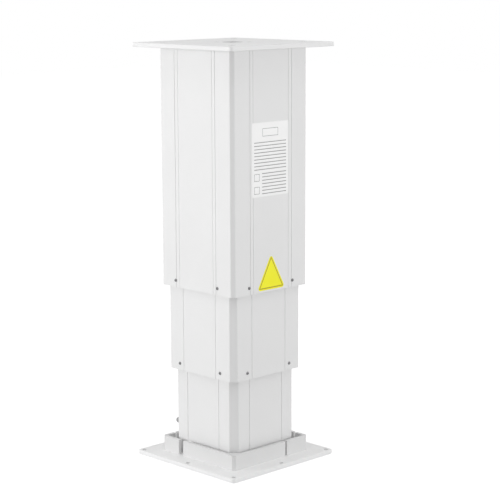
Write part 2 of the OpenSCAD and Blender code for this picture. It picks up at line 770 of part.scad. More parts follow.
module lower_spindle_nut() color(bronze) difference() {
  translate([0, 0, lower_nut_z]) cylinder(d = lower_lift_d, h = nut_h);
  translate([0, 0, lower_nut_z - 1]) cylinder(d = spindle_d + 2 * run_play, h = nut_h + 2);
}

module hollow_spindle_bearing() color(steel)
  translate([0, 0, hollow_bearing_z])
    bearing(hollow_bearing_d, neck_d + 2 * run_play, hollow_bearing_b);

// ---- Hollow spindle ----

module key_slot(play) {
  foot = spindle_d / 2 - keyway_depth + key_gap;
  width = keyway_w - 2 * key_gap + 2 * play;
  translate([foot, -width / 2, hollow_bearing_z + 1.5 - play])
    cube([neck_d / 2 - 1 - foot + play, width, hollow_bearing_b - 3 + 2 * play]);
}

module hollow_spindle() color(steel) difference() {
  union() {
    translate([0, 0, hollow_bearing_z + 0.5]) cylinder(d = neck_d, h = hollow_bearing_b);
    translate([0, 0, hollow_shoulder_z + 0.2])
      cylinder(d = hollow_d, h = hollow_top - hollow_shoulder_z - 0.2);
  }
  translate([0, 0, hollow_bearing_z]) cylinder(d = hollow_bore, h = hollow_top);
  key_slot(0.02);
}

module drive_key() color(steel) key_slot(0);

// ---- Outer stage ----

module outer_tube() color(paint) difference() {
  translate([0, 0, outer_z]) linear_extrude(outer_len) difference() {
    tube_profile(outer_w, outer_diag, outer_wall, outer_edge_r, outer_groove_x, outer_port);
    for (angle = [0:90:270]) rotate(angle) for (side = [-1, 1])
      translate([side * hairline_x - hairline_w / 2, -outer_w / 2 - 1])
        square([hairline_w, hairline_depth + 1]);
  }
  face_pairs(outer_glide_x, outer_z + glide_screw_z)
    y_rod(glide_screw_d + 2 * clear_play, -outer_w / 2 - 1, -outer_w / 2 + outer_wall + 1);
}

module outer_bottom_glides() color(acetal)
  bottom_glides(outer_w, outer_wall, outer_glide_x, outer_z, outer_glide_t);

module outer_glide_screws() color(dark_steel)
  glide_screws(outer_w, outer_wall, outer_glide_x, outer_z, outer_glide_t);

module top_plate() color(paint) translate([0, 0, top_z]) difference() {
  plate(top_w, top_t);
  plate_bolts(top_w, top_t);
  translate([0, 0, -1]) cylinder(d = top_bore_d, h = top_t + 2);
  at_corners(outer_port) translate([0, 0, top_t]) mirror([0, 0, 1])
    sunk_hole(port_screw_d(), port_head_d, top_t);
  flange_holes(upper_flange_r, top_t, top_t);
}

module top_plate_screws() color(steel)
  at_corners(outer_port) translate([0, 0, top_z + top_t]) mirror([0, 0, 1])
    sunk_screw(port_screw_d(), port_head_d, port_screw_len);

module outer_lift_tube() color(steel)
  lift_tube(upper_lift_d, upper_lift_bore, upper_lift_z, top_z, upper_flange_r);

module outer_flange_screws() color(steel)
  flange_screws(upper_flange_r, top_z + top_t, top_t);

module upper_spindle_nut() color(bronze) difference() {
  union() {
    translate([0, 0, upper_nut_z]) cylinder(d = upper_lift_d, h = nut_h);
    translate([0, 0, upper_lift_z - eps])
      cylinder(d = upper_lift_bore - 2 * thread_play, h = nut_spigot);
  }
  translate([0, 0, upper_nut_z - 1])
    cylinder(d = hollow_d + 2 * run_play, h = nut_h + nut_spigot + 2);
}

base_plate();
collar_front_angle();
collar_rear_angle();
collar_left_angle();
collar_right_angle();
collar_screws();
inner_tube();
inner_tube_screws();
inner_top_glides();
gearbox_housing();
gearbox_lid();
gearbox_screws();
spindle_bearings();
motor();
motor_cap();
cable_gland();
gland_nut();
drive_spindle();
spindle_gear();
drive_pinion();
middle_tube();
middle_bottom_glides();
middle_glide_screws();
middle_top_glides();
bridge_plate();
bridge_screws();
middle_lift_tube();
middle_flange_screws();
lower_spindle_nut();
hollow_spindle_bearing();
hollow_spindle();
drive_key();
outer_tube();
outer_bottom_glides();
outer_glide_screws();
top_plate();
top_plate_screws();
outer_lift_tube();
outer_flange_screws();
upper_spindle_nut();
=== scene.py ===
import math

import bmesh
import bpy
from mathutils import Matrix, Vector


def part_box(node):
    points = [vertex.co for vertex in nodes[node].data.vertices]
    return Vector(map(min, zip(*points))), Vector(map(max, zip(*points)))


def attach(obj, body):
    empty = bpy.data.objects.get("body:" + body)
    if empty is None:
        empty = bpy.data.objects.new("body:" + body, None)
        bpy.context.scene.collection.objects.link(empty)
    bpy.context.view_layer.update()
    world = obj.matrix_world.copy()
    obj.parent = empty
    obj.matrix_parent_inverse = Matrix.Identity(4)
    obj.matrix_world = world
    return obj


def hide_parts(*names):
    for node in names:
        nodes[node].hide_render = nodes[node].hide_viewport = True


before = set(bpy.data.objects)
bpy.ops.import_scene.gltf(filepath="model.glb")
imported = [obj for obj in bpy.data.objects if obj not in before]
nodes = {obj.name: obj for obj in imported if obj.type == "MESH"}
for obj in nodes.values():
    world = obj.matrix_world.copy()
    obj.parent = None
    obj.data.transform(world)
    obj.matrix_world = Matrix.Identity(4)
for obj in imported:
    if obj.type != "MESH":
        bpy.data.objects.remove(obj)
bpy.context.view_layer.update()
scene = bpy.context.scene
scene.view_settings.view_transform = "Standard"
print("stage: column loaded,", len(nodes), "parts")

mm = 0.001


# Materials. Every pattern is read from Object coordinates, in metres.

def startMaterial(name):
    mat = bpy.data.materials.new(name)
    mat.use_nodes = True
    tree = mat.node_tree
    surface = tree.nodes["Principled BSDF"]
    place = tree.nodes.new("ShaderNodeTexCoord")
    return mat, tree, surface, place.outputs["Object"]


def link(tree, start, end):
    tree.links.new(start, end)


def mapped(tree, source, scale):
    node = tree.nodes.new("ShaderNodeMapping")
    node.inputs["Scale"].default_value = scale
    link(tree, source, node.inputs["Vector"])
    return node.outputs["Vector"]


def noise(tree, source, scale, detail=2.0, rough=0.5):
    node = tree.nodes.new("ShaderNodeTexNoise")
    node.inputs["Scale"].default_value = scale
    node.inputs["Detail"].default_value = detail
    node.inputs["Roughness"].default_value = rough
    link(tree, source, node.inputs["Vector"])
    return node.outputs["Fac"]


def spread(tree, value, low, high, startAt=0.3, endAt=0.7):
    node = tree.nodes.new("ShaderNodeMapRange")
    node.inputs["From Min"].default_value = startAt
    node.inputs["From Max"].default_value = endAt
    node.inputs["To Min"].default_value = low
    node.inputs["To Max"].default_value = high
    link(tree, value, node.inputs["Value"])
    return node.outputs["Result"]


def blendColour(tree, factor, first, second):
    node = tree.nodes.new("ShaderNodeMix")
    node.data_type = "RGBA"
    for socket, colour in ((node.inputs[6], first), (node.inputs[7], second)):
        if isinstance(colour, bpy.types.NodeSocket):
            link(tree, colour, socket)
        else:
            socket.default_value = (*colour, 1)
    link(tree, factor, node.inputs[0])
    return node.outputs[2]


def bumped(tree, surface, height, strength, distance, under=None):
    node = tree.nodes.new("ShaderNodeBump")
    node.inputs["Strength"].default_value = strength
    node.inputs["Distance"].default_value = distance
    link(tree, height, node.inputs["Height"])
    if under is not None:
        link(tree, under, node.inputs["Normal"])
    link(tree, node.outputs["Normal"], surface.inputs["Normal"])
    return node.outputs["Normal"]


def maths(tree, kind, first, second=None):
    node = tree.nodes.new("ShaderNodeMath")
    node.operation = kind
    for socket, value in zip(node.inputs, (first, second)):
        if value is None:
            continue
        if isinstance(value, bpy.types.NodeSocket):
            link(tree, value, socket)
        else:
            socket.default_value = value
    return node.outputs[0]


def tinted(colour, share):
    return tuple(c * share for c in colour)


powder = {
    "white": (0.835, 0.835, 0.835),
    "roughness": 0.46,
    "specular": 0.32,
    "lighter": 1.012,  # shares of the white, in its soft clouds and in its specks
    "darker": 0.985,
    "speck": 0.955,
    "cloudScale": 9.0,
    "peelHeight": 0.10 * mm,
    "grainHeight": 0.03 * mm,
    "dieHeight": 0.03 * mm,
    "dieStretch": (1, 1, 0.006),  # the die's lines run along the tube
    "grainScale": 1400.0,  # grains to the metre in the baked powder
    "peelScale": 260.0,  # slower waves of the orange peel
    "dieLines": 900.0,  # lines to the metre left by the extrusion die
}


def powderCoat(name, white, extruded, roughness):
    mat, tree, surface, place = startMaterial(name)
    cloud = noise(tree, place, powder["cloudScale"], 3.0)
    grain = noise(tree, place, powder["grainScale"], 2.0, 0.6)
    peel = noise(tree, place, powder["peelScale"], 1.0)
    lighter, darker = tinted(white, powder["lighter"]), tinted(white, powder["darker"])
    body = blendColour(tree, spread(tree, cloud, 0, 1), darker, lighter)
    specks = spread(tree, grain, 0.0, 0.5, 0.55, 0.8)
    colour = blendColour(tree, specks, body, tinted(white, powder["speck"]))
    link(tree, colour, surface.inputs["Base Color"])
    rough = spread(tree, grain, roughness - 0.05, roughness + 0.07)
    link(tree, rough, surface.inputs["Roughness"])
    surface.inputs["Specular IOR Level"].default_value = powder["specular"]
    first = bumped(tree, surface, peel, 0.10, powder["peelHeight"])
    second = bumped(tree, surface, grain, 0.10, powder["grainHeight"], first)
    if extruded:
        lines = mapped(tree, place, powder["dieStretch"])
        streak = noise(tree, lines, powder["dieLines"], 1.0)
        bumped(tree, surface, streak, 0.06, powder["dieHeight"], second)
    return mat


metal = {"cloudScale": 60.0, "dull": 0.82, "scratchHeight": 0.05 * mm}


def metalSkin(name, colour, roughness, grainScale, stretch=(1, 1, 1), strength=0.15, metallic=1.0):
    mat, tree, surface, place = startMaterial(name)
    scratch = noise(tree, mapped(tree, place, stretch), grainScale, 3.0, 0.6)
    cloud = spread(tree, noise(tree, place, metal["cloudScale"], 2.0), 0, 1)
    skin = blendColour(tree, cloud, tinted(colour, metal["dull"]), colour)
    link(tree, skin, surface.inputs["Base Color"])
    rough = spread(tree, scratch, roughness * 0.8, roughness * 1.25)
    link(tree, rough, surface.inputs["Roughness"])
    surface.inputs["Metallic"].default_value = metallic
    bumped(tree, surface, scratch, strength, metal["scratchHeight"])
    return mat


plastic = {
    "grainScale": 1800.0,
    "grainHeight": 0.04 * mm,
    "cloudScale": 45.0,
    "paler": (1.12, 0.004),  # share of the colour, and what is added to it
}


def mouldedPlastic(name, colour, roughness):
    mat, tree, surface, place = startMaterial(name)
    grain = noise(tree, place, plastic["grainScale"], 2.0, 0.6)
    cloud = spread(tree, noise(tree, place, plastic["cloudScale"], 2.0), 0, 1)
    share, added = plastic["paler"]
    pale = tuple(min(1.0, c * share + added) for c in colour)
    link(tree, blendColour(tree, cloud, colour, pale), surface.inputs["Base Color"])
    rough = spread(tree, grain, roughness - 0.06, roughness + 0.08)
    link(tree, rough, surface.inputs["Roughness"])
    bumped(tree, surface, grain, 0.2, plastic["grainHeight"])
    return mat


# Each paint's share of the white, whether its parts show die lines, and how much rougher it is.
paints = {
    "tubePaint": (1.0, True, 0.0),
    # painted light: the top plate's white is a lighter copy of the same powder coat as the tubes,
    # standing in for light on its edges and top
    "topPaintLit": (1.04, False, 0.04),
    # painted light: the base plate's white is a lighter copy of the same powder coat, standing in
    # for light on the top face the column shades
    "basePaintLit": (1.10, False, 0.04),
    "collarPaint": (0.88, True, -0.04),
}
tubePaint, topPaintLit, basePaintLit, collarPaint = (
    powderCoat(name, tinted(powder["white"], share), extruded, powder["roughness"] + rougher)
    for name, (share, extruded, rougher) in paints.items()
)
castAlloy = metalSkin("castAlloy", (0.55, 0.56, 0.57), 0.5, 900.0, strength=0.5)
turnedSteel = metalSkin("turnedSteel", (0.52, 0.52, 0.53), 0.3, 700.0, (0.08, 0.08, 1))
drawnSteel = metalSkin("drawnSteel", (0.48, 0.485, 0.49), 0.36, 900.0, (1, 1, 0.02))
hubSteel = metalSkin("hubSteel", (0.56, 0.565, 0.57), 0.22, 500.0, (1, 1, 1), 0.06)
darkSteel = metalSkin("darkSteel", (0.22, 0.22, 0.225), 0.4, 1500.0, metallic=0.7)
motorPaint = metalSkin("motorPaint", (0.03, 0.03, 0.032), 0.4, 1200.0, metallic=0.0)
bearingRace = metalSkin("bearingRace", (0.66, 0.67, 0.69), 0.12, 1200.0, (1, 1, 0.1), 0.04)
bronzeNut = metalSkin("bronzeNut", (0.55, 0.36, 0.15), 0.3, 700.0, (0.08, 0.08, 1))
glideAcetal = mouldedPlastic("glideAcetal", (0.72, 0.71, 0.68), 0.45)
capNylon = mouldedPlastic("capNylon", (0.035, 0.035, 0.038), 0.5)
glandNylon = mouldedPlastic("glandNylon", (0.36, 0.36, 0.365), 0.5)

finishes = {
    tubePaint: ["inner_tube", "middle_tube", "outer_tube"],
    topPaintLit: ["top_plate"],
    basePaintLit: ["base_plate"],
    collarPaint: [
        "collar_front_angle", "collar_rear_angle", "collar_left_angle", "collar_right_angle",
    ],
    castAlloy: ["gearbox_housing", "gearbox_lid", "bridge_plate"],
    turnedSteel: [
        "collar_screws", "inner_tube_screws", "gearbox_screws", "bridge_screws",
        "middle_flange_screws", "top_plate_screws", "outer_flange_screws",
        "drive_spindle", "hollow_spindle", "drive_pinion",
    ],
    drawnSteel: ["middle_lift_tube", "outer_lift_tube"],
    hubSteel: ["spindle_gear", "drive_key"],
    darkSteel: ["middle_glide_screws", "outer_glide_screws"],
    motorPaint: ["motor"],
    bearingRace: ["spindle_bearings", "hollow_spindle_bearing"],
    bronzeNut: ["lower_spindle_nut", "upper_spindle_nut"],
    glideAcetal: [
        "inner_top_glides", "middle_bottom_glides", "middle_top_glides", "outer_bottom_glides",
    ],
    glandNylon: ["cable_gland", "gland_nut"],
    capNylon: ["motor_cap"],
}
for mat, names in finishes.items():
    for name in names:
        nodes[name].data.materials.clear()
        nodes[name].data.materials.append(mat)
print("stage: finishes on", sum(len(names) for names in finishes.values()), "parts")


# Shared steps for the pieces' meshes

def meshObject(name, verts, faces, mat, smooth=True):
    mesh = bpy.data.meshes.new(name)
    mesh.from_pydata(verts, [], faces)
    mesh.validate()
    mesh.materials.append(mat)
    for face in mesh.polygons:
        face.use_smooth = smooth
    obj = bpy.data.objects.new(name, mesh)
    scene.collection.objects.link(obj)
    return obj


def lathe(profile, steps, hexRings=()):
    # Rings of points round the Y axis. A ring in hexRings is a hexagon of that half width.
    verts, faces = [], []
    for ring, (radius, y) in enumerate(profile):
        for step in range(steps):
            angle = 2 * math.pi * step / steps
            r = radius
            if ring in hexRings:
                off = (angle + math.pi / 6) % (math.pi / 3) - math.pi / 6
                r = radius / math.cos(off)
            verts.append((r * math.cos(angle), y, r * math.sin(angle)))
    rings = len(profile)
    for ring in range(rings - 1):
        for step in range(steps):
            after = (step + 1) % steps
            a, b = ring * steps + step, ring * steps + after
            faces.append((a, b, b + steps, a + steps))
    faces.append(tuple(range(steps))[::-1])
    faces.append(tuple(range((rings - 1) * steps, rings * steps)))
    return verts, faces


def faceOutwards(obj):
    work = bmesh.new()
    work.from_mesh(obj.data)
    bmesh.ops.remove_doubles(work, verts=work.verts, dist=1e-7)
    bmesh.ops.recalc_face_normals(work, faces=work.faces)
    work.to_mesh(obj.data)
    work.free()


# Domed socket screws at the foot of the two sliding tubes

screw = {
    "headRadius": 2.2 * mm,
    "headHeight": 1.3 * mm,
    "shankRadius": 1.25 * mm,
    "shankLength": 4.4 * mm,
    "shankBevel": 0.4 * mm,
    "tipShare": 0.8,  # of the shank's radius, at its end
    "socketHalfWidth": 0.75 * mm,
    "socketDepth": 0.85 * mm,
    "socketPoint": 0.3 * mm,
    "bevel": 0.12 * mm,
    "underside": 0.15 * mm,  # how far the head's underside stays inside its rim
    "rimHeight": 0.38 * mm,
    "domeTurns": (18, 36, 54, 68),  # degrees up the dome
    "domeShare": (0.86, 0.14),  # rounded and straight shares of the head's radius
    "crown": 1.35,  # the flat round the socket, as a share of the socket
    "pole": 0.05 * mm,
    "steps": 36,
}


def screwMesh(name):
    # The head stands out along -Y from y = 0.
    head, high, rim = screw["headRadius"], screw["headHeight"], screw["rimHeight"]
    socket, deep = screw["socketHalfWidth"], screw["socketDepth"]
    shank, length = screw["shankRadius"], screw["shankLength"]
    bevel, pole = screw["bevel"], screw["pole"]
    rounded, straight = screw["domeShare"]
    profile = [(pole, length), (shank * screw["tipShare"], length)]
    profile += [(shank, length - screw["shankBevel"]), (shank, 0.0)]
    profile += [(head - screw["underside"], 0.0), (head, -bevel), (head, -rim)]
    for turn in screw["domeTurns"]:
        across, rise = math.cos(math.radians(turn)), math.sin(math.radians(turn))
        profile.append((head * across * rounded + head * straight, -rim - (high - rim) * rise))
    profile.append((socket * screw["crown"], -high))
    hexRings = (len(profile), len(profile) + 1, len(profile) + 2)
    profile += [(socket + bevel, -high), (socket, -high + bevel), (socket, -high + deep)]
    profile.append((pole, -high + deep + screw["socketPoint"]))
    verts, faces = lathe(profile, screw["steps"], hexRings)
    obj = meshObject(name, verts, faces, darkSteel, False)
    faceOutwards(obj)
    return obj


def addInput(group, name, kind, value=None):
    socket = group.interface.new_socket(name, in_out="INPUT", socket_type=kind)
    if value is not None:
        socket.default_value = value
    return socket.identifier


def turnedCopies(group, points, count, shape, axis, mat):
    # A copy of shape on each point, turned one step further about the axis each time.
    make, join = group.nodes.new, group.links.new
    index = make("GeometryNodeInputIndex")
    part = maths(group, "DIVIDE", index.outputs[0], count)
    turn = maths(group, "MULTIPLY", part, 2 * math.pi)
    angle = make("ShaderNodeCombineXYZ")
    join(turn, angle.inputs[axis])
    around = make("GeometryNodeInstanceOnPoints")
    join(points, around.inputs["Points"])
    join(shape, around.inputs["Instance"])
    join(angle.outputs[0], around.inputs["Rotation"])
    real = make("GeometryNodeRealizeInstances")
    join(around.outputs["Instances"], real.inputs["Geometry"])
    paint = make("GeometryNodeSetMaterial")
    paint.inputs["Material"].default_value = mat
    join(real.outputs["Geometry"], paint.inputs["Geometry"])
    return paint.outputs["Geometry"]


def ringTree(name, mat):
    # Sets the incoming mesh on both sides of the middle of each of four faces.
    group = bpy.data.node_groups.new(name, "GeometryNodeTree")
    group.is_modifier = True
    sockets = {
        "Geometry": addInput(group, "Geometry", "NodeSocketGeometry"),
        "Side": addInput(group, "Side", "NodeSocketFloat", 0.04),
        "Face": addInput(group, "Face", "NodeSocketFloat", 0.07),
        "Height": addInput(group, "Height", "NodeSocketFloat", 0.1),
        "Faces": addInput(group, "Faces", "NodeSocketInt", 4),
    }
    group.interface.new_socket("Geometry", in_out="OUTPUT", socket_type="NodeSocketGeometry")
    make, join = group.nodes.new, group.links.new
    given, result = make("NodeGroupInput"), make("NodeGroupOutput")
    back = maths(group, "MULTIPLY", given.outputs["Face"], -1.0)
    left = maths(group, "MULTIPLY", given.outputs["Side"], -1.0)
    places = []
    for side in (left, given.outputs["Side"]):
        spot = make("ShaderNodeCombineXYZ")
        join(side, spot.inputs[0])
        join(back, spot.inputs[1])
        join(given.outputs["Height"], spot.inputs[2])
        places.append(spot.outputs[0])
    pair = make("GeometryNodeMeshLine")
    pair.mode = "END_POINTS"
    pair.inputs["Count"].default_value = 2
    join(places[0], pair.inputs["Start Location"])
    join(places[1], pair.inputs["Offset"])
    onFace = make("GeometryNodeInstanceOnPoints")
    join(pair.outputs["Mesh"], onFace.inputs["Points"])
    join(given.outputs["Geometry"], onFace.inputs["Instance"])
    centre = make("GeometryNodePoints")
    join(given.outputs["Faces"], centre.inputs["Count"])
    upright = 2  # the Z axis
    shape, count = onFace.outputs["Instances"], given.outputs["Faces"]
    done = turnedCopies(group, centre.outputs[0], count, shape, upright, mat)
    join(done, result.inputs["Geometry"])
    return group, sockets


def madeByNodes(obj, group, sockets, values, finalName):
    # Runs the tree on obj and keeps its result as a plain mesh.
    modifier = obj.modifiers.new(group.name, "NODES")
    modifier.node_group = group
    for name, value in values.items():
        modifier[sockets[name]] = value
    obj.update_tag()
    bpy.context.view_layer.update()
    done = obj.evaluated_get(bpy.context.evaluated_depsgraph_get())
    mesh = bpy.data.meshes.new_from_object(done)
    mesh.name = finalName
    obj.modifiers.remove(modifier)
    made = bpy.data.objects.new(finalName, mesh)
    scene.collection.objects.link(made)
    bpy.data.objects.remove(obj)
    return made


def spreadOf(node, tube):
    # Where a node's screws are: their distance from the face's middle, the face, and the height.
    low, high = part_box(node)
    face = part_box(tube)[1].x
    points = [v.co for v in nodes[node].data.vertices if v.co.y < -face]
    right = [p.x for p in points if p.x > 0]
    return (min(right) + max(right)) / 2, face, (low.z + high.z) / 2


screwGroup, screwSockets = ringTree("screwsOnFaces", darkSteel)
for node, tube, body, name in (
    ("outer_glide_screws", "outer_tube", "outer_stage", "outerFaceScrews"),
    ("middle_glide_screws", "middle_tube", "middle_stage", "middleFaceScrews"),
):
    side, face, height = spreadOf(node, tube)
    values = {"Side": side, "Face": face, "Height": height, "Faces": 4}
    made = madeByNodes(screwMesh(name + "Single"), screwGroup, screwSockets, values, name)
    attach(made, body)
    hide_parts(node)
print("stage: face screws")


# Ribbed grip on the nose of the cable gland

grip = {
    "ribs": 14,
    "ribWidth": 0.9 * mm,
    "crestShare": 0.5,  # of a rib's width
    "ribHigh": 0.55 * mm,
    "from": 4.0 * mm,
    "to": 12.5 * mm,
    "runUp": 0.6 * mm,
    "sunk": 0.3 * mm,  # how far a rib's foot is inside the nose
    "lowEnd": 0.2 * mm,  # how far its ends are inside
    "noseZone": 3 * mm,
}


def gripTree(name, mat):
    group = bpy.data.node_groups.new(name, "GeometryNodeTree")
    group.is_modifier = True
    sockets = {
        "Geometry": addInput(group, "Geometry", "NodeSocketGeometry"),
        "Ribs": addInput(group, "Ribs", "NodeSocketInt", 12),
        "Centre": addInput(group, "Centre", "NodeSocketVector"),
    }
    group.interface.new_socket("Geometry", in_out="OUTPUT", socket_type="NodeSocketGeometry")
    make, join = group.nodes.new, group.links.new
    given, result = make("NodeGroupInput"), make("NodeGroupOutput")
    spots = make("GeometryNodePoints")
    join(given.outputs["Ribs"], spots.inputs["Count"])
    join(given.outputs["Centre"], spots.inputs["Position"])
    alongNose = 1  # the Y axis
    shape, count = given.outputs["Geometry"], given.outputs["Ribs"]
    done = turnedCopies(group, spots.outputs[0], count, shape, alongNose, mat)
    join(done, result.inputs["Geometry"])
    return group, sockets


def glandGrip():
    low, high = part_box("cable_gland")
    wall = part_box("inner_tube")[1].y
    points = [v.co for v in nodes["cable_gland"].data.vertices]
    nose = max(p.x for p in points if p.y > high.y - grip["noseZone"])
    middle = (low.x + high.x) / 2
    radius = nose - middle
    half, top = grip["ribWidth"] / 2, radius + grip["ribHigh"]
    verts, faces = [], []
    start, end, runUp = grip["from"], grip["to"], grip["runUp"]
    foot, narrow, lowEnd = radius - grip["sunk"], half * grip["crestShare"], grip["lowEnd"]
    for y, lift in ((start, 0.0), (start + runUp, 1.0), (end - runUp, 1.0), (end, 0.0)):
        crest = radius - lowEnd + (top - radius + lowEnd) * lift
        verts += [(-half, y, foot), (-narrow, y, crest), (narrow, y, crest), (half, y, foot)]
    for ring in range(3):
        for step in range(4):
            after = (step + 1) % 4
            a, b = ring * 4 + step, ring * 4 + after
            faces.append((a, b, b + 4, a + 4))
    faces += [(3, 2, 1, 0), (12, 13, 14, 15)]
    rib = meshObject("gripRib", verts, faces, glandNylon, False)
    faceOutwards(rib)
    group, sockets = gripTree("ribsRoundNose", glandNylon)
    values = {"Ribs": grip["ribs"], "Centre": (middle, wall, (low.z + high.z) / 2)}
    made = madeByNodes(rib, group, sockets, values, "glandGrip")
    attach(made, "foot")


glandGrip()
print("stage: gland grip")


# Stickers on the front face of the outer tube: both are left without any words or signs

sticker = {
    "left": -36.3 * mm, "right": 33.9 * mm, "low": 383.0 * mm, "high": 484.4 * mm,
    "corner": 1.6 * mm, "thick": 0.16 * mm,
    "paper": ((0.91, 0.91, 0.908), (0.94, 0.94, 0.938)),
}
triangle = {
    "width": 54.0 * mm, "high": 50.0 * mm, "centre": 0.2 * mm, "low": 252.2 * mm,
    "corner": 3.4 * mm,
    "thick": 0.16 * mm, "rimFrom": 1.9 * mm, "rimTo": 3.3 * mm,
    "film": ((0.97, 0.93, 0.008), (0.985, 0.955, 0.012)), "amber": (0.42, 0.31, 0.012),
}


def roundedOutline(corners, radius, steps=8):
    # Rounds the corners of a convex outline given anticlockwise.
    points = []
    count = len(corners)
    for i in range(count):
        here = Vector(corners[i])
        back = (Vector(corners[i - 1]) - here).normalized()
        ahead = (Vector(corners[(i + 1) % count]) - here).normalized()
        half = back.angle(ahead) / 2
        centre = here + (back + ahead).normalized() * radius / math.sin(half)
        start = here + back * radius / math.tan(half) - centre
        end = here + ahead * radius / math.tan(half) - centre
        sweep = start.angle_signed(end)
        for step in range(steps + 1):
            turned = start.copy()
            turned.rotate(Matrix.Rotation(-sweep * step / steps, 2))
            points.append(centre + turned)
    return points


def stickerObject(name, outline, face, thick, mat):
    # A thin sheet on the face at y = -face, with a softened front edge.
    count = len(outline)
    middle = sum(outline, Vector((0, 0))) / count
    rings = [(0.0, 0.0), (thick * 0.6, 0.0), (thick, thick * 0.8)]
    verts, faces = [], []
    for out, shrink in rings:
        for p in outline:
            inward = (middle - p).normalized() * shrink
            verts.append((p.x + inward.x, -face - out, p.y + inward.y))
    for ring in range(len(rings) - 1):
        for step in range(count):
            after = (step + 1) % count
            a, b = ring * count + step, ring * count + after
            faces.append((a, b, b + count, a + count))
    faces.append(tuple(range(count))[::-1])
    faces.append(tuple(range((len(rings) - 1) * count, len(rings) * count)))
    obj = meshObject(name, verts, faces, mat, False)
    faceOutwards(obj)
    return obj


def bandMask(tree, value, low, high, soft=0.05 * mm):
    up = spread(tree, value, 0.0, 1.0, low - soft, low + soft)
    down = spread(tree, value, 1.0, 0.0, high - soft, high + soft)
    return maths(tree, "MULTIPLY", up, down)


ruled = {
    "ink": (0.07, 0.07, 0.075),
    "pitch": 4.6 * mm,
    "line": 1.0 * mm,
    "margin": 4.2 * mm,
    "lowRows": 7,  # short lines beside the two empty squares
    "highRows": 9,  # full lines under the title box
    "between": 5.8 * mm,  # more than the pitch, between the two groups
    "indent": 15.0 * mm,
    "square": 5.0 * mm,  # half width of an empty square
    "title": (15.0 * mm, 5.4 * mm),  # half width and half height of the empty title box
    "frame": 0.55 * mm,
}


def labelPaper():
    # Satin white film with two groups of empty ruled lines and three empty boxes.
    mat, tree, surface, place = startMaterial("labelPaper")
    parts = tree.nodes.new("ShaderNodeSeparateXYZ")
    link(tree, place, parts.inputs[0])
    x, z = parts.outputs[0], parts.outputs[2]
    left, right = sticker["left"] + ruled["margin"], sticker["right"] - ruled["margin"]

    def both(first, second, kind="MULTIPLY"):
        return maths(tree, kind, first, second)

    def block(west, east, low, high):
        return both(bandMask(tree, x, west, east), bandMask(tree, z, low, high))

    def rules(west, low, rows):
        # Evenly spaced lines, and the height of the last of them.
        last = low + ruled["pitch"] * (rows - 1)
        step = both(both(z, low, "SUBTRACT"), ruled["pitch"], "DIVIDE")
        share = ruled["line"] / ruled["pitch"] / 2
        line = spread(tree, both(step, 0.5, "PINGPONG"), 1.0, 0.0, share * 0.7, share * 1.3)
        return both(line, block(west, right, low - ruled["line"], last + ruled["line"])), last

    def emptyBox(middleX, middleZ, wide, tall):
        edge = ruled["frame"]
        outer = block(middleX - wide, middleX + wide, middleZ - tall, middleZ + tall)
        west, east = middleX - wide + edge, middleX + wide - edge
        inner = block(west, east, middleZ - tall + edge, middleZ + tall - edge)
        return both(outer, inner, "SUBTRACT")

    lowest = sticker["low"] + ruled["margin"]
    lowLines, lowTop = rules(left + ruled["indent"], lowest, ruled["lowRows"])
    highLines, highTop = rules(left, lowTop + ruled["between"], ruled["highRows"])
    side = ruled["square"]
    shapes = [
        highLines,
        emptyBox(left + side, lowest + side, side, side),
        emptyBox(left + side, lowTop - side, side, side),
        emptyBox((left + right) / 2, (highTop + sticker["high"]) / 2, *ruled["title"]),
    ]
    lines = lowLines
    for shape in shapes:
        lines = both(lines, shape, "MAXIMUM")
    ink = spread(tree, noise(tree, place, 900.0, 2.0), 0.75, 1.0)
    cloud = spread(tree, noise(tree, place, 40.0, 2.0), 0, 1)
    paper = blendColour(tree, cloud, *sticker["paper"])
    printed = blendColour(tree, both(lines, ink), paper, ruled["ink"])
    link(tree, printed, surface.inputs["Base Color"])
    grain = noise(tree, place, 1500.0, 2.0)
    link(tree, spread(tree, grain, 0.3, 0.42), surface.inputs["Roughness"])
    bumped(tree, surface, grain, 0.05, 0.02 * mm)
    return mat


def yellowVinyl():
    # Yellow film with a printed amber line just inside its edge.
    mat, tree, surface, place = startMaterial("yellowVinyl")
    parts = tree.nodes.new("ShaderNodeSeparateXYZ")
    link(tree, place, parts.inputs[0])
    offCentre = maths(tree, "SUBTRACT", parts.outputs[0], triangle["centre"])
    sideways = maths(tree, "ABSOLUTE", offCentre)
    up = maths(tree, "SUBTRACT", parts.outputs[2], triangle["low"])
    half, high = triangle["width"] / 2, triangle["high"]
    slant = math.hypot(half, high)
    # Distance from the slanted edges, then from the nearest of the three.
    across, rising = high / slant, half / slant
    first, second = maths(tree, "MULTIPLY", sideways, across), maths(tree, "MULTIPLY", up, rising)
    along = maths(tree, "ADD", first, second)
    inwards = maths(tree, "MINIMUM", maths(tree, "SUBTRACT", half * high / slant, along), up)
    rim = bandMask(tree, inwards, triangle["rimFrom"], triangle["rimTo"], 0.08 * mm)
    cloud = spread(tree, noise(tree, place, 60.0, 2.0), 0, 1)
    film = blendColour(tree, cloud, *triangle["film"])
    link(tree, blendColour(tree, rim, film, triangle["amber"]), surface.inputs["Base Color"])
    grain = noise(tree, place, 1200.0, 2.0)
    link(tree, spread(tree, grain, 0.26, 0.36), surface.inputs["Roughness"])
    surface.inputs["Specular IOR Level"].default_value = 0.25
    surface.inputs["Coat Weight"].default_value = 0.1
    surface.inputs["Coat Roughness"].default_value = 0.2
    bumped(tree, surface, grain, 0.04, 0.02 * mm)
    return mat


